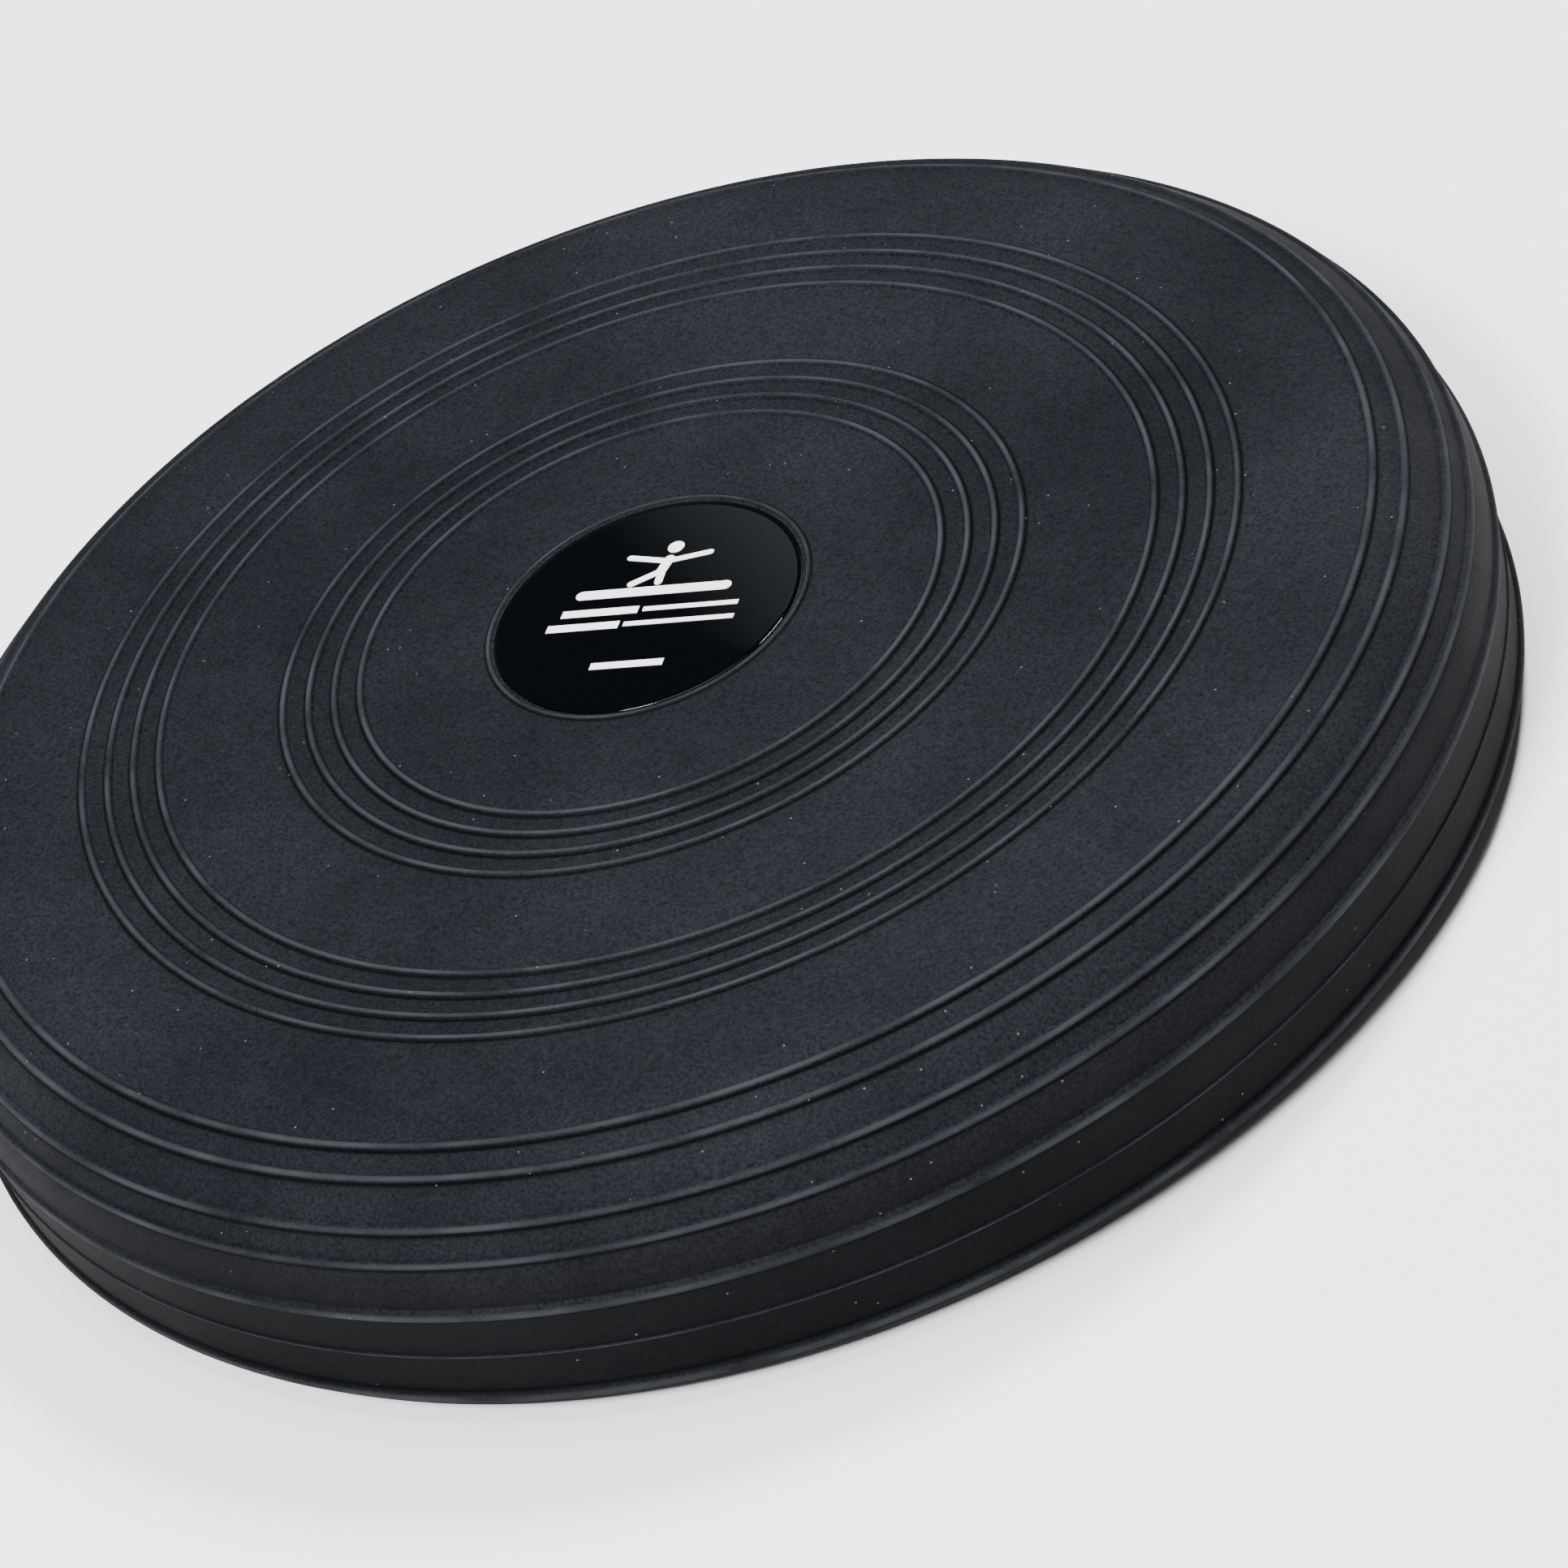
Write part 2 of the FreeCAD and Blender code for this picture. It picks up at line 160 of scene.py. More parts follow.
def outer_section(rings, first, edge, depth):
    """Outer skin of one half as (radius, depth, crest). Crest is 1 on top of a ring, and falls
    to -1 in the line along its outer foot."""
    section = []
    for along in skin_samples(rings, first, edge, depth):
        rise = max(ring_rise(along - spot, half, stand) for spot, half, stand in rings)
        share = max(ring_rise(along - spot, half, 1.0) for spot, half, _ in rings)
        dip = channel_dip(along)
        # Between the rings of a group crest dips below zero, which paints shade into the channel.
        crest = share if share > 0.05 else dip / CHANNEL_DEPTH * 0.15
        # Along each ring's outer foot crest falls to -1, which paints a dark line of shade there.
        for spot, half, _ in rings:
            off_foot = abs((along - spot) / half - FOOT_LINE_AT) / FOOT_LINE_HALF
            if off_foot < 1:
                crest = min(crest, off_foot - 1)
        section.append((*skin_point(along, rise + dip * (1 - share), edge), crest))
    return section


def seam_section(depth):
    """Half of the joint line: a thin lip of pressed-out vinyl."""
    lip = pad_radius + SEAM_STAND
    # Crest up to 1 on the lip gives it the wear and painted highlight tone, a thin light line.
    return [
        (pad_radius + 0.08 * MM, depth - SEAM_HALF, 0.2),
        (pad_radius + 0.22 * MM, depth - 0.5 * SEAM_HALF, 0.7),
        (lip, depth - 0.25 * SEAM_HALF, 1.0),
        (lip, depth, 1.0),
    ]


def inner_section(edge, depth):
    """Inner face of the wall, back from the joint line to the middle."""
    flat = pad_radius - edge
    section = [(pad_radius - WALL, depth, 0.0), (pad_radius - WALL, edge, 0.0)]
    for number in range(1, 12):
        angle = math.radians(90 - 90 * number / 12)
        reach = edge - WALL
        section.append((flat + reach * math.sin(angle), edge - reach * math.cos(angle), 0.0))
    section.append((flat, WALL, 0.0))
    section.append((flat / 2, WALL, 0.0))
    return section


def lathe(name, section, height_of, flip, ripple):
    """Turns a section, open at the middle, into a closed mesh with a crest value per point."""
    verts, crests, faces = [], [], []
    for radius, depth, crest in section:
        for step in range(SEGMENTS):
            angle = 2 * math.pi * step / SEGMENTS
            x, y = radius * math.cos(angle), radius * math.sin(angle)
            sway = ripple * noise.noise(Vector((x, y, depth)) * SWAY_SCALE)
            verts.append((x, y, height_of(depth + sway)))
            crests.append(crest)
    rows = len(section)
    for row in range(rows - 1):
        for step in range(SEGMENTS):
            after = (step + 1) % SEGMENTS
            a, b = row * SEGMENTS + step, row * SEGMENTS + after
            c, d = a + SEGMENTS, b + SEGMENTS
            faces.append((a, c, d, b) if flip else (a, b, d, c))
    for row, turned in ((0, flip), (rows - 1, not flip)):
        middle = len(verts)
        verts.append((0, 0, height_of(section[row][1])))
        crests.append(0.0)
        for step in range(SEGMENTS):
            a, b = row * SEGMENTS + step, row * SEGMENTS + (step + 1) % SEGMENTS
            faces.append((middle, a, b) if turned else (middle, b, a))
    mesh = bpy.data.meshes.new(name)
    mesh.from_pydata(verts, [], faces)
    mesh.attributes.new("crest", "FLOAT", "POINT").data.foreach_set("value", crests)
    mesh.polygons.foreach_set("use_smooth", [True] * len(faces))
    mesh.set_sharp_from_angle(angle=SHARP_ANGLE)
    mesh.update()
    piece = bpy.data.objects.new(name, mesh)
    bpy.context.scene.collection.objects.link(piece)
    return piece


def label_seat_section():
    """Floor and rounded step of the recess that the label lies in."""
    return [
        (6 * MM, RECESS_DEPTH, 0.0),
        (20 * MM, RECESS_DEPTH, 0.0),
        # Crest below zero on the step paints shade into the corner of the recess.
        (RECESS_RADIUS - 0.1 * MM, RECESS_DEPTH, -0.6),
        (RECESS_RADIUS, RECESS_DEPTH - 0.1 * MM, -0.8),
        (RECESS_RADIUS, 0.12 * MM, -0.5),
        (RECESS_RADIUS + 0.04 * MM, 0.03 * MM, 0.1),
        (RECESS_RADIUS + 0.15 * MM, 0.0, 0.2),
    ]


def new_material(name):
    material = bpy.data.materials.new(name)
    material.use_nodes = True
    tree = material.node_tree
    return material, tree, tree.nodes["Principled BSDF"]


def add(tree, kind, links=None, **settings):
    """A node with its settings, inputs by name or number, and links into it."""
    node = tree.nodes.new(kind)
    for key, value in settings.items():
        setattr(node, key, value)
    for key, value in (links or {}).items():
        if isinstance(value, bpy.types.NodeSocket):
            tree.links.new(value, node.inputs[key])
        else:
            node.inputs[key].default_value = value
    return node


def new_group(name, inputs, outputs):
    tree = bpy.data.node_groups.new(name, "ShaderNodeTree")
    for label, kind, value in inputs:
        socket = tree.interface.new_socket(name=label, in_out="INPUT", socket_type=kind)
        socket.default_value = value
    for label, kind in outputs:
        tree.interface.new_socket(name=label, in_out="OUTPUT", socket_type=kind)
    return tree, tree.nodes.new("NodeGroupInput"), tree.nodes.new("NodeGroupOutput")


def noise_of(tree, place, scale, detail, roughness=0.5):
    """Value of a noise texture."""
    settings = {"Vector": place, "Scale": scale, "Detail": detail, "Roughness": roughness}
    return add(tree, "ShaderNodeTexNoise", settings).outputs["Fac"]


def remap(tree, value, low, high, to_low=0.0, to_high=1.0):
    """Carries a value from one range to another."""
    settings = {
        "Value": value,
        "From Min": low,
        "From Max": high,
        "To Min": to_low,
        "To Max": to_high,
    }
    return add(tree, "ShaderNodeMapRange", settings).outputs["Result"]


def maths(tree, operation, first, second):
    return add(tree, "ShaderNodeMath", {0: first, 1: second}, operation=operation).outputs[0]


def scaled(tree, color, factor):
    """A colour times a value."""
    settings = {0: color, 1: factor}
    return add(tree, "ShaderNodeVectorMath", settings, operation="MULTIPLY").outputs[0]


def blended(tree, factor, color, other):
    settings = {"Factor": factor, 6: color, 7: other}
    return add(tree, "ShaderNodeMix", settings, data_type="RGBA").outputs[2]


def bumped(tree, height, strength, distance):
    settings = {"Height": height, "Strength": strength, "Distance": distance}
    return add(tree, "ShaderNodeBump", settings).outputs["Normal"]


CLOUD_SCALE = 14.0
PATCH_SCALE = 60.0
SPECK_SCALE = 330.0
SPECK_CHOICE = 0.8
SPECK_SIZE = 0.075
SPECK_COLOR = (0.09, 0.093, 0.097, 1)
WALL_PAINTED_SHADE = 0.3
PAINTED_CREASE_SHADE = 0.05
GRAIN_DEPTH = 0.25 * MM


def build_moulded_skin():
    """Cloudy tone, grain, painted shade on what faces away from up, dust specks, wear and painted
    highlight on crests, painted shade at ring feet.
    """
    color, number = "NodeSocketColor", "NodeSocketFloat"
    tree, given, result = new_group(
        "moulded_skin",
        [
            ("Tone", color, (0.02, 0.022, 0.026, 1)),
            ("Cloud Tone", color, (0.04, 0.043, 0.05, 1)),
            ("Wear And Highlight Tone", color, (0.09, 0.095, 0.1, 1)),
            ("Cloud", number, 0.5),
            ("Wear And Highlight", number, 0.5),
            ("Dust", number, 0.5),
            ("Roughness", number, 0.55),
            ("Grain Scale", number, 1500.0),
        ],
        [("Color", color), ("Roughness", number), ("Height", number)],
    )
    setting = given.outputs
    place = add(tree, "ShaderNodeTexCoord").outputs["Object"]
    cloud = remap(tree, noise_of(tree, place, CLOUD_SCALE, 6.0, 0.62), 0.36, 0.66)
    cloud = maths(tree, "MULTIPLY", cloud, setting["Cloud"])
    grain = noise_of(tree, place, setting["Grain Scale"], 2.5, 0.7)
    tone = blended(tree, cloud, setting["Tone"], setting["Cloud Tone"])
    tone = scaled(tree, tone, remap(tree, grain, 0.3, 0.7, 0.35, 1.75))

    # Painted shade: the tone darkens as the skin turns away from facing up, so the side walls and
    # underside come out darker.
    normal = add(tree, "ShaderNodeNewGeometry").outputs["Normal"]
    upward = add(tree, "ShaderNodeSeparateXYZ", {0: normal}).outputs["Z"]
    tone = scaled(tree, tone, remap(tree, upward, 0.0, 0.5, WALL_PAINTED_SHADE, 1.0))

    # Painted shade: where crest falls below zero the tone darkens. This covers the ring feet, the
    # channels between grouped rings, the recess step and the land's corner.
    crest = add(tree, "ShaderNodeAttribute", attribute_name="crest").outputs["Fac"]
    tone = scaled(tree, tone, remap(tree, crest, -1.0, 0.0, PAINTED_CREASE_SHADE, 1.0))
    # Wear and painted highlight: ring crests and the joint lip take a lighter tone in patches. The
    # tone stands in partly for light catching them.
    patch = remap(tree, noise_of(tree, place, PATCH_SCALE, 4.0), 0.25, 0.65)
    wear_and_highlight = maths(tree, "MULTIPLY", remap(tree, crest, 0.7, 1.0), patch)
    wear_and_highlight = maths(tree, "MULTIPLY", wear_and_highlight, setting["Wear And Highlight"])
    tone = blended(tree, wear_and_highlight, tone, setting["Wear And Highlight Tone"])

    spots = add(tree, "ShaderNodeTexVoronoi", {"Vector": place, "Scale": SPECK_SCALE})
    chosen = add(tree, "ShaderNodeSeparateColor", {0: spots.outputs["Color"]}).outputs[0]
    chosen = maths(tree, "GREATER_THAN", chosen, SPECK_CHOICE)
    small = maths(tree, "LESS_THAN", spots.outputs["Distance"], SPECK_SIZE)
    dust = maths(tree, "MULTIPLY", chosen, small)
    dust = maths(tree, "MULTIPLY", dust, setting["Dust"])
    tone = blended(tree, dust, tone, SPECK_COLOR)

    rough = remap(tree, cloud, 0.0, 1.0, 0.05, -0.06)
    rough = maths(tree, "ADD", rough, setting["Roughness"])
    tree.links.new(tone, result.inputs["Color"])
    tree.links.new(rough, result.inputs["Roughness"])
    tree.links.new(grain, result.inputs["Height"])
    return tree


moulded_skin = build_moulded_skin()


def skin_material(name, values, bump):
    """A material that wears the moulded skin with its own values."""
    material, tree, shader = new_material(name)
    skin = tree.nodes.new("ShaderNodeGroup")
    skin.node_tree = moulded_skin
    for key, value in values.items():
        skin.inputs[key].default_value = value
    tree.links.new(skin.outputs["Color"], shader.inputs["Base Color"])
    tree.links.new(skin.outputs["Roughness"], shader.inputs["Roughness"])
    relief = bumped(tree, skin.outputs["Height"], bump, GRAIN_DEPTH)
    tree.links.new(relief, shader.inputs["Normal"])
    return material, shader


black_vinyl, vinyl_shader = skin_material(
    "black_vinyl",
    {
        "Tone": (0.0043, 0.0048, 0.0062, 1),
        "Cloud Tone": (0.0079, 0.0085, 0.0104, 1),
        "Wear And Highlight Tone": (0.030, 0.033, 0.039, 1),
        "Cloud": 1.0,
        "Wear And Highlight": 0.8,
        "Dust": 0.7,
        "Roughness": 0.72,
    },
    0.85,
)
vinyl_shader.inputs["Specular IOR Level"].default_value = 0.055
vinyl_shader.inputs["Specular Tint"].default_value = (0.86, 0.92, 1.0, 1)

seat_low, seat_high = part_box("valve_seat")
valve_z = (seat_low.z + seat_high.z) / 2


def open_round_hole(mesh, radius):
    """Cuts a round hole through the wall where the valve passes it."""
    inside = set()
    for vert in mesh.vertices:
        off = Vector((vert.co.x, 0, vert.co.z - valve_z))
        if vert.co.y > 0 and off.length < radius:
            inside.add(vert.index)
    kept = [tuple(face.vertices) for face in mesh.polygons if not inside.issuperset(face.vertices)]
    used = sorted({index for face in kept for index in face})
    fresh = {old: new for new, old in enumerate(used)}
    verts, crests = [], []
    values = mesh.attributes["crest"].data
    for old in used:
        spot = mesh.vertices[old].co.copy()
        if old in inside:
            off = Vector((spot.x, 0, spot.z - valve_z))
            spot += off.normalized() * (radius - off.length)
        verts.append(spot)
        crests.append(values[old].value)
    cut = bpy.data.meshes.new(mesh.name)
    cut.from_pydata(verts, [], [tuple(fresh[index] for index in face) for face in kept])
    cut.attributes.new("crest", "FLOAT", "POINT").data.foreach_set("value", crests)
    cut.polygons.foreach_set("use_smooth", [True] * len(kept))
    cut.set_sharp_from_angle(angle=SHARP_ANGLE)
    cut.update()
    return cut


upper_rings = flat_rings()
upper_rings += [edge_ring(a, UPPER_EDGE, EDGE_RING_HALF, EDGE_RING_STAND) for a in EDGE_RING_ANGLES]
upper_rings.append(edge_ring(GRIP_RING_ANGLE, UPPER_EDGE, GRIP_RING_HALF, GRIP_RING_STAND))
upper_rings.append((LABEL_RIM_RADIUS, LABEL_RIM_HALF, LABEL_RIM_STAND))
upper_section = label_seat_section()
upper_section += outer_section(upper_rings, RECESS_RADIUS + 0.3 * MM, UPPER_EDGE, upper_depth)
upper_section += seam_section(upper_depth) + inner_section(UPPER_EDGE, upper_depth)
upper_skin = lathe("upper_skin", upper_section, lambda depth: top_z - depth, False, 0.10 * MM)
upper_skin.data = open_round_hole(upper_skin.data, HOLE_RADIUS)
upper_skin.data.materials.append(black_vinyl)
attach(upper_skin, "pad")
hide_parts("upper_shell")


# ---- Lower moulded half ---------------------------------------------------------------
# A shallow tray of the same vinyl, welded to the upper half at the joint line. A plain round
# land in the middle of its underside stands level with the rings, so the pad lies flat.

FOOT_RADIUS = 33 * MM
UNDER_PAIR_RADIUS = 144.6 * MM
LOWER_EDGE = 6.5 * MM

lower_depth = seam_z - base_z


def foot_section():
    edge = 0.25 * MM
    return [
        (6 * MM, -RING_STAND, 0.0),
        (20 * MM, -RING_STAND, 0.0),
        (FOOT_RADIUS - edge, -RING_STAND, 0.3),
        (FOOT_RADIUS - 0.3 * edge, -RING_STAND + 0.3 * edge, 0.6),
        (FOOT_RADIUS, -RING_STAND + edge, 0.2),
        (FOOT_RADIUS + 0.05 * MM, -0.15 * MM, 0.0),
        # Crest below zero where the land meets the tray paints shade into that corner.
        (FOOT_RADIUS + 0.25 * MM, 0.0, -0.2),
    ]


lower_rings = flat_rings()
lower_rings += [(UNDER_PAIR_RADIUS + n * RING_PITCH, RING_HALF, RING_STAND) for n in range(2)]
lower_rings.append(edge_ring(GRIP_RING_ANGLE, LOWER_EDGE, GRIP_RING_HALF, GRIP_RING_STAND))
lower_section = foot_section()
lower_section += outer_section(lower_rings, FOOT_RADIUS + 0.5 * MM, LOWER_EDGE, lower_depth)
lower_section += seam_section(lower_depth) + inner_section(LOWER_EDGE, lower_depth)
lower_skin = lathe("lower_skin", lower_section, lambda depth: base_z + depth, True, 0.0)
lower_skin.data.materials.append(black_vinyl)
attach(lower_skin, "pad")
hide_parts("lower_shell")


# ---- Valve boss -----------------------------------------------------------------------
# A round boss moulded with the upper half. Its face is flat for the plug's head, and its
# skirt runs into the curved side wall.

BOSS_RADIUS = 7.5 * MM
SEAT_RADIUS = 5.5 * MM
BOSS_STAND = 1.0 * MM
SEAT_RECESS = 0.4 * MM

boss_face = pad_radius + BOSS_STAND


def lathe_along_y(name, section, steps):
    """Turns (radius, y) points about the valve's axis. The section is a closed loop."""
    verts, faces = [], []
    for radius, y in section:
        for step in range(steps):
            angle = 2 * math.pi * step / steps
            verts.append((radius * math.cos(angle), y, valve_z + radius * math.sin(angle)))
    rows = len(section)
    for row in range(rows):
        for step in range(steps):
            after = (step + 1) % steps
            below = ((row + 1) % rows) * steps
            faces.append((row * steps + step, row * steps + after, below + after, below + step))
    mesh = bpy.data.meshes.new(name)
    mesh.from_pydata(verts, [], faces)
    mesh.attributes.new("crest", "FLOAT", "POINT")
    mesh.polygons.foreach_set("use_smooth", [True] * len(faces))
    mesh.update()
    piece = bpy.data.objects.new(name, mesh)
    bpy.context.scene.collection.objects.link(piece)
    return piece


boss_section = [
    (SEAT_RADIUS, boss_face - 5.5 * MM),
    (SEAT_RADIUS, boss_face - 0.35 * MM),
    (SEAT_RADIUS + 0.1 * MM, boss_face - 0.1 * MM),
    (SEAT_RADIUS + 0.35 * MM, boss_face),
    (BOSS_RADIUS - 0.6 * MM, boss_face),
    (BOSS_RADIUS - 0.2 * MM, boss_face - 0.15 * MM),
    (BOSS_RADIUS, boss_face - 0.6 * MM),
    (BOSS_RADIUS + 0.2 * MM, boss_face - 1.6 * MM),
    (BOSS_RADIUS + 0.6 * MM, boss_face - 2.6 * MM),
    (BOSS_RADIUS + 0.9 * MM, boss_face - 4.0 * MM),
    (BOSS_RADIUS + 0.9 * MM, boss_face - 5.5 * MM),
]
valve_boss = lathe_along_y("valve_boss", boss_section, 96)
valve_boss.data.materials.append(black_vinyl)
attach(valve_boss, "pad")


# ---- Label ----------------------------------------------------------------------------
# A round gloss black film stuck flush into the recess on an adhesive sheet. The print is
# white ink: a figure balancing on a pad, over plain bars.

film_low, film_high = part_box("label_film")
film_radius = film_high.x
film_top = film_high.z
film_edge = 0.12 * MM

film_section = [
    (6 * MM, top_z - film_top, 0.0),
    (24 * MM, top_z - film_top, 0.0),
    (film_radius - 1.0 * MM, top_z - film_top, 0.0),
    (film_radius - film_edge, top_z - film_top, 0.0),
    (film_radius - 0.3 * film_edge, top_z - film_top + 0.3 * film_edge, 0.5),
    (film_radius, top_z - film_top + film_edge, 1.0),
    (film_radius, top_z - film_low.z, 0.0),
    (20 * MM, top_z - film_low.z, 0.0),
]
label_disc = lathe("label_disc", film_section, lambda depth: top_z - depth, False, 0.0)

gloss_black, gloss_tree, gloss_shader = new_material("gloss_black_film")
gloss_place = add(gloss_tree, "ShaderNodeTexCoord").outputs["Object"]
smears = remap(gloss_tree, noise_of(gloss_tree, gloss_place, 55.0, 5.0), 0.4, 0.8, 0.025, 0.06)
gloss_tree.links.new(smears, gloss_shader.inputs["Roughness"])
peel = bumped(gloss_tree, noise_of(gloss_tree, gloss_place, 240.0, 2.0), 0.05, 0.05 * MM)
gloss_tree.links.new(peel, gloss_shader.inputs["Normal"])
black_tone = blended(
    gloss_tree,
    noise_of(gloss_tree, gloss_place, 900.0, 2.0),
    (0.0003, 0.0005, 0.0010, 1),
    (0.0006, 0.0010, 0.0018, 1),
)
gloss_tree.links.new(black_tone, gloss_shader.inputs["Base Color"])
label_disc.data.materials.append(gloss_black)
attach(label_disc, "pad")
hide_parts("label_film")

white_ink, ink_tree, ink_shader = new_material("white_ink")
ink_place = add(ink_tree, "ShaderNodeTexCoord").outputs["Object"]
mottle = noise_of(ink_tree, ink_place, 1400.0, 3.0)
ink_tone = blended(ink_tree, mottle, (0.80, 0.81, 0.82, 1), (0.95, 0.95, 0.95, 1))
ink_tree.links.new(ink_tone, ink_shader.inputs["Base Color"])
ink_tree.links.new(bumped(ink_tree, mottle, 0.1, 0.03 * MM), ink_shader.inputs["Normal"])
ink_shader.inputs["Roughness"].default_value = 0.35
for node in ("label_figure", "label_bars"):
    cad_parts[node].data.materials.clear()
    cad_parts[node].data.materials.append(white_ink)

clear_glue, glue_tree, glue_shader = new_material("tacky_adhesive")
glue_place = add(glue_tree, "ShaderNodeTexCoord").outputs["Object"]
bubbles = add(glue_tree, "ShaderNodeTexVoronoi", {"Vector": glue_place, "Scale": 700.0})
glue_tone = blended(
    glue_tree,
    bubbles.outputs["Distance"],
    (0.40, 0.37, 0.26, 1),
    (0.55, 0.52, 0.42, 1),
)
glue_tree.links.new(glue_tone, glue_shader.inputs["Base Color"])
glue_shader.inputs["Roughness"].default_value = 0.3
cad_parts["label_adhesive"].data.materials.clear()
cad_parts["label_adhesive"].data.materials.append(clear_glue)


# ---- Air valve ------------------------------------------------------------------------
# A turned rubber seat bonded in the boss, a soft self-closing core inside it, and a
# moulded plug with a flat pull tab that draws straight out along +Y.

seat_rubber, seat_shader = skin_material(
    "seat_rubber",
    {
        "Tone": (0.0045, 0.0046, 0.0052, 1),
        "Cloud Tone": (0.0075, 0.0076, 0.0082, 1),
        "Cloud": 0.6,
        "Wear And Highlight": 0.0,
        "Dust": 0.2,
        "Roughness": 0.42,
        "Grain Scale": 1500.0,
    },
    0.2,
)
core_rubber, core_shader = skin_material(
    "core_rubber",
    {
        "Tone": (0.045, 0.027, 0.016, 1),
        "Cloud Tone": (0.065, 0.040, 0.025, 1),
        "Cloud": 0.6,
        "Wear And Highlight": 0.0,
        "Dust": 0.0,
        "Roughness": 0.5,
        "Grain Scale": 1500.0,
    },
    0.2,
)
for node, finish in (("valve_seat", seat_rubber), ("valve_core", core_rubber)):
    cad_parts[node].data.materials.clear()
    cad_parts[node].data.materials.append(finish)

plug_plastic, plug_shader = skin_material(
    "plug_plastic",
    {
        "Tone": (0.0105, 0.0115, 0.0135, 1),
        "Cloud Tone": (0.0140, 0.0150, 0.0170, 1),
        "Cloud": 0.5,
        "Wear And Highlight": 0.0,
        "Dust": 0.3,
        "Roughness": 0.38,
        "Grain Scale": 3200.0,
    },
    0.25,
)
for shader in (seat_shader, core_shader, plug_shader):
    shader.inputs["Specular IOR Level"].default_value = 0.12
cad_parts["valve_plug"].data.materials.clear()
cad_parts["valve_plug"].data.materials.append(plug_plastic)


# ---- Studio ---------------------------------------------------------------------------
# A plain pale floor and three soft lights: one behind and to the right, a stronger one in
# front and to the left, one overhead. A dim panel's edge slants across the gloss label.

CAMERA_AZIMUTH = math.radians(29.5)
CAMERA_ELEVATION = math.radians(37.37)
CAMERA_ROLL = math.radians(-22.6)
CAMERA_DISTANCE = 0.8984
CAMERA_LENS = 111.8
AIM = Vector((0.0444, -0.0556, top_z))

ahead = Vector((-math.sin(CAMERA_AZIMUTH), math.cos(CAMERA_AZIMUTH), 0))
across = Vector((math.cos(CAMERA_AZIMUTH), math.sin(CAMERA_AZIMUTH), 0))
up = Vector((0, 0, 1))

look = ahead * math.cos(CAMERA_ELEVATION) - up * math.sin(CAMERA_ELEVATION)
level_up = across.cross(look)
rolled_right = across * math.cos(CAMERA_ROLL) + level_up * math.sin(CAMERA_ROLL)
rolled_up = -across * math.sin(CAMERA_ROLL) + level_up * math.cos(CAMERA_ROLL)
camera_data = bpy.data.cameras.new("camera")
camera_data.lens = CAMERA_LENS
camera_data.sensor_width = 36
camera_data.clip_start = 0.01
camera_data.clip_end = 50
camera = bpy.data.objects.new("camera", camera_data)
place = AIM - look * CAMERA_DISTANCE
camera.matrix_world = Matrix(
    [
        [rolled_right.x, rolled_up.x, -look.x, place.x],
        [rolled_right.y, rolled_up.y, -look.y, place.y],
        [rolled_right.z, rolled_up.z, -look.z, place.z],
        [0, 0, 0, 1],
    ]
)
bpy.context.scene.collection.objects.link(camera)
bpy.context.scene.camera = camera

floor_mesh = bpy.data.meshes.new("floor")
reach = 2.0  # half the floor's side
floor_mesh.from_pydata(
    [(-reach, -reach, 0), (reach, -reach, 0), (reach, reach, 0), (-reach, reach, 0)],
    [],
    [(0, 1, 2, 3)],
)
floor = bpy.data.objects.new("floor", floor_mesh)
floor.location.z = lower_low.z
bpy.context.scene.collection.objects.link(floor)
pale, pale_tree, pale_shader = new_material("pale_floor")
pale_shader.inputs["Base Color"].default_value = (0.93, 0.93, 0.93, 1)
pale_shader.inputs["Roughness"].default_value = 0.9
floor_mesh.materials.append(pale)


def soft_light(name, spot, target, width, height, energy):
    data = bpy.data.lights.new(name, "AREA")
    data.shape = "RECTANGLE"
    data.size = width
    data.size_y = height
    data.energy = energy
    light = bpy.data.objects.new(name, data)
    light.location = spot
    light.rotation_euler = (target - spot).to_track_quat("-Z", "Y").to_euler()
    light.visible_camera = False
    bpy.context.scene.collection.objects.link(light)
    return light


middle = Vector((0, 0, 0.05))
soft_light("key", across * 0.8 + ahead * 0.7 + up * 1.7, middle, 0.35, 0.35, 62)
soft_light("front", across * -1.1 - ahead * 1.4 + up * 2.0, middle, 0.8, 0.8, 165)
soft_light("overhead", up * 2.6, middle, 1.6, 1.6, 60)

GLINT_CORNER = Vector((0.0131, -0.0092, top_z))
GLINT_END = Vector((0.0277, -0.0171, top_z))
GLINT_FADE = Vector((-0.0176, 0.0266, top_z))
PANEL_AWAY = 1.6
PANEL_CELLS = 8
PANEL_CELL = 0.04
GLOW_FIRST = 0.08
GLOW_STEP = 0.22
PANEL_GLOW = 0.5


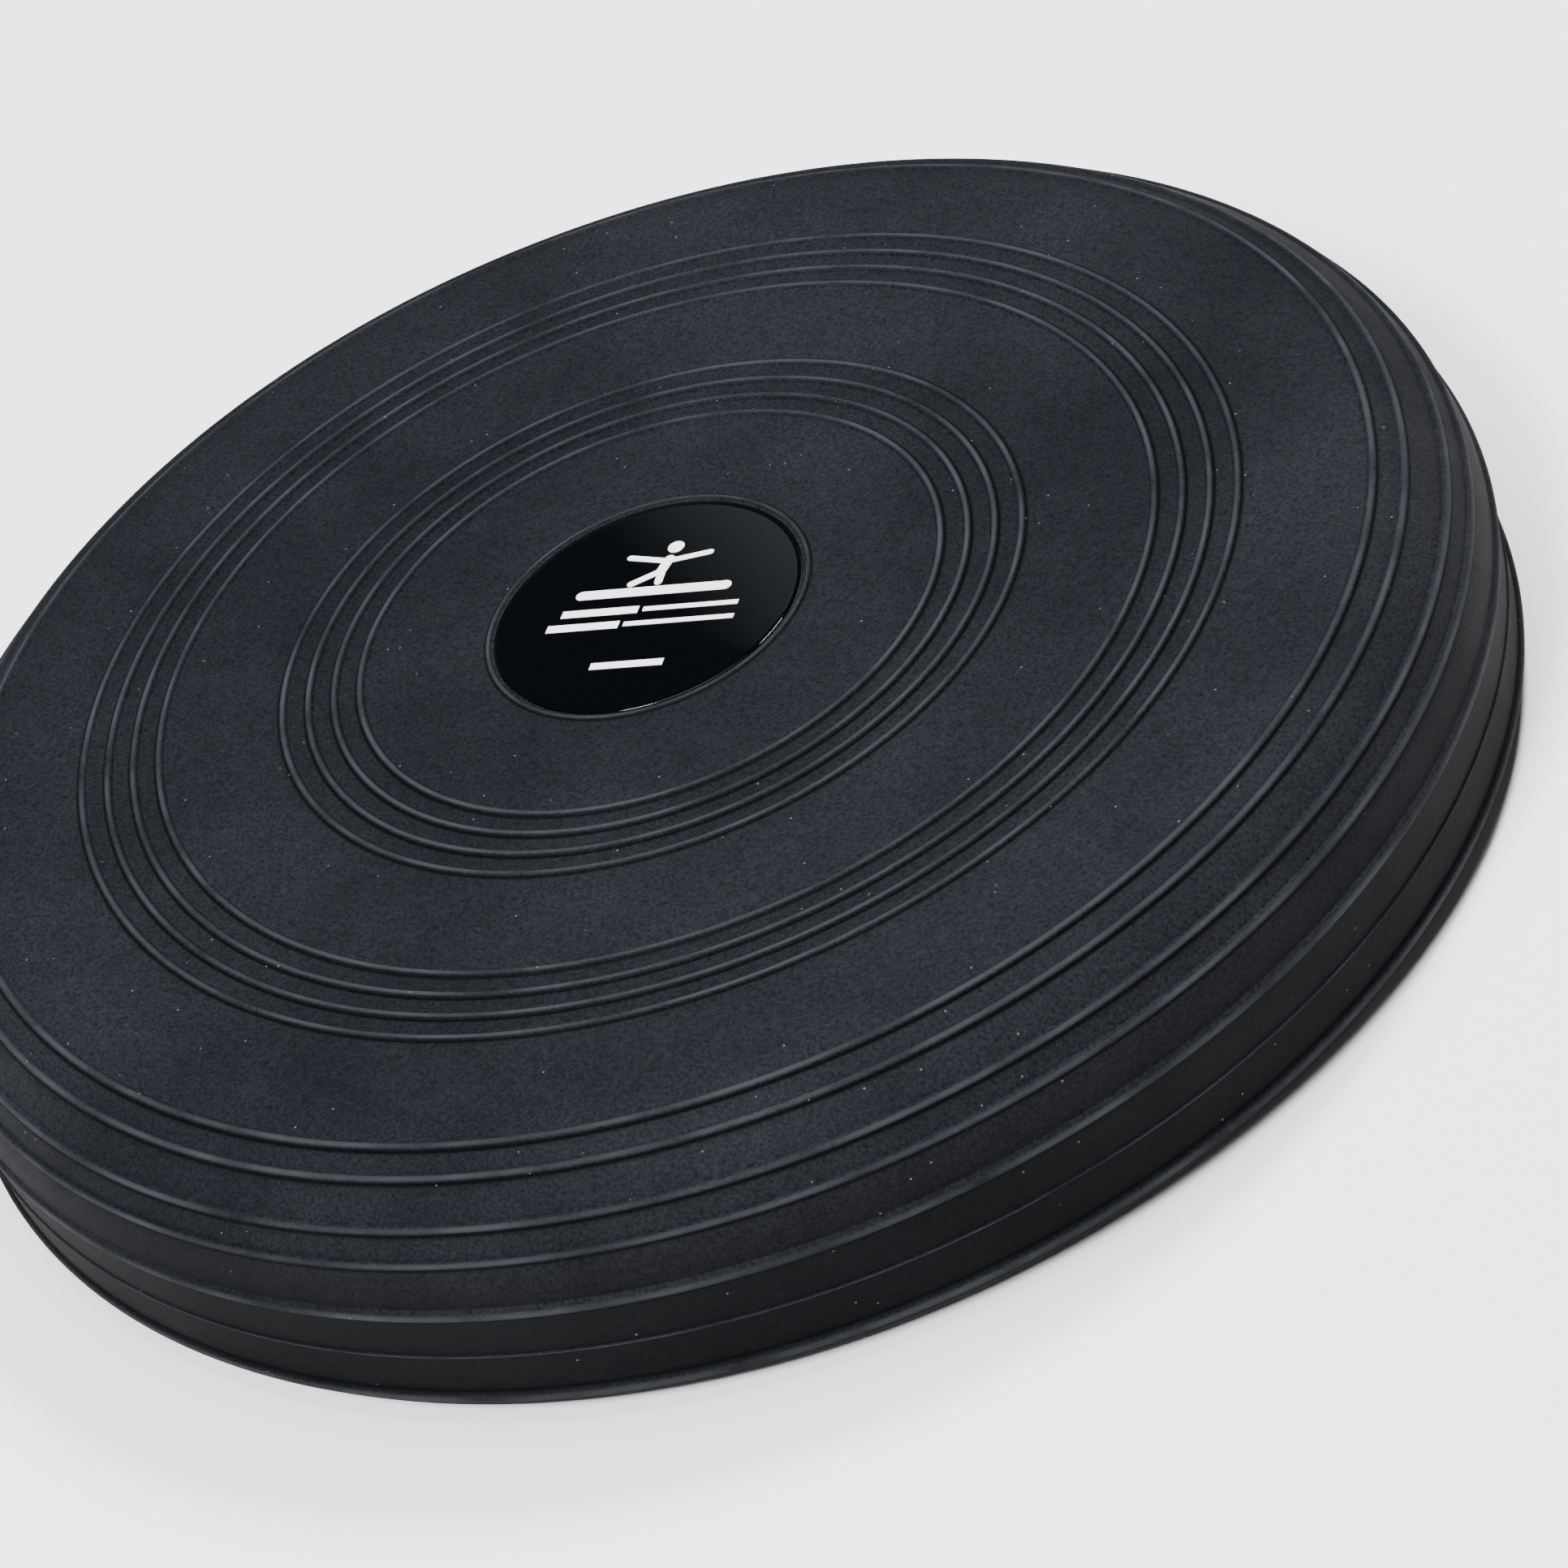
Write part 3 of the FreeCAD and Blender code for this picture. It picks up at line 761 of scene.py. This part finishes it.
def mirrored(spot):
    """Where the camera, looking at this spot of the label, sees the panel's plane."""
    ray = (spot - place).normalized()
    ray.z = -ray.z
    return spot + ray * PANEL_AWAY


corner = mirrored(GLINT_CORNER)
edge_way = (mirrored(GLINT_END) - corner).normalized()
fade_way = (mirrored(GLINT_FADE) - corner).normalized()
panel_verts, glows = [], []
for row in range(PANEL_CELLS + 1):
    for column in range(PANEL_CELLS + 1):
        spot = corner + fade_way * (row * PANEL_CELL) + edge_way * (column * PANEL_CELL)
        panel_verts.append(tuple(spot))
        glows.append(min(1.0, GLOW_FIRST + column * GLOW_STEP))
panel_faces = []
for row in range(PANEL_CELLS):
    for column in range(PANEL_CELLS):
        first = row * (PANEL_CELLS + 1) + column
        above = first + PANEL_CELLS + 1
        panel_faces.append((first, first + 1, above + 1, above))
panel_mesh = bpy.data.meshes.new("panel")
panel_mesh.from_pydata(panel_verts, [], panel_faces)
panel_mesh.attributes.new("glow", "FLOAT", "POINT").data.foreach_set("value", glows)
panel = bpy.data.objects.new("panel", panel_mesh)
panel.visible_camera = False
panel.visible_shadow = False
bpy.context.scene.collection.objects.link(panel)
panel_finish, panel_tree, panel_shader = new_material("dim_panel")
glow = add(panel_tree, "ShaderNodeAttribute", attribute_name="glow").outputs["Fac"]
glow = maths(panel_tree, "MULTIPLY", glow, PANEL_GLOW)
panel_shader.inputs["Base Color"].default_value = (0, 0, 0, 1)
panel_shader.inputs["Specular IOR Level"].default_value = 0
panel_shader.inputs["Emission Color"].default_value = (0.95, 1.0, 1.0, 1)
panel_tree.links.new(glow, panel_shader.inputs["Emission Strength"])
panel_mesh.materials.append(panel_finish)

world = bpy.data.worlds.new("studio")
world.use_nodes = True
bpy.context.scene.world = world
sky = world.node_tree
way = add(sky, "ShaderNodeTexCoord").outputs["Generated"]
height = add(sky, "ShaderNodeSeparateXYZ", {0: way}).outputs["Z"]
shade = remap(sky, height, 0.1, 0.32, 0.8, 0.04)
sky.links.new(shade, sky.nodes["Background"].inputs["Strength"])
sky.nodes["Background"].inputs["Color"].default_value = (1, 1, 1, 1)
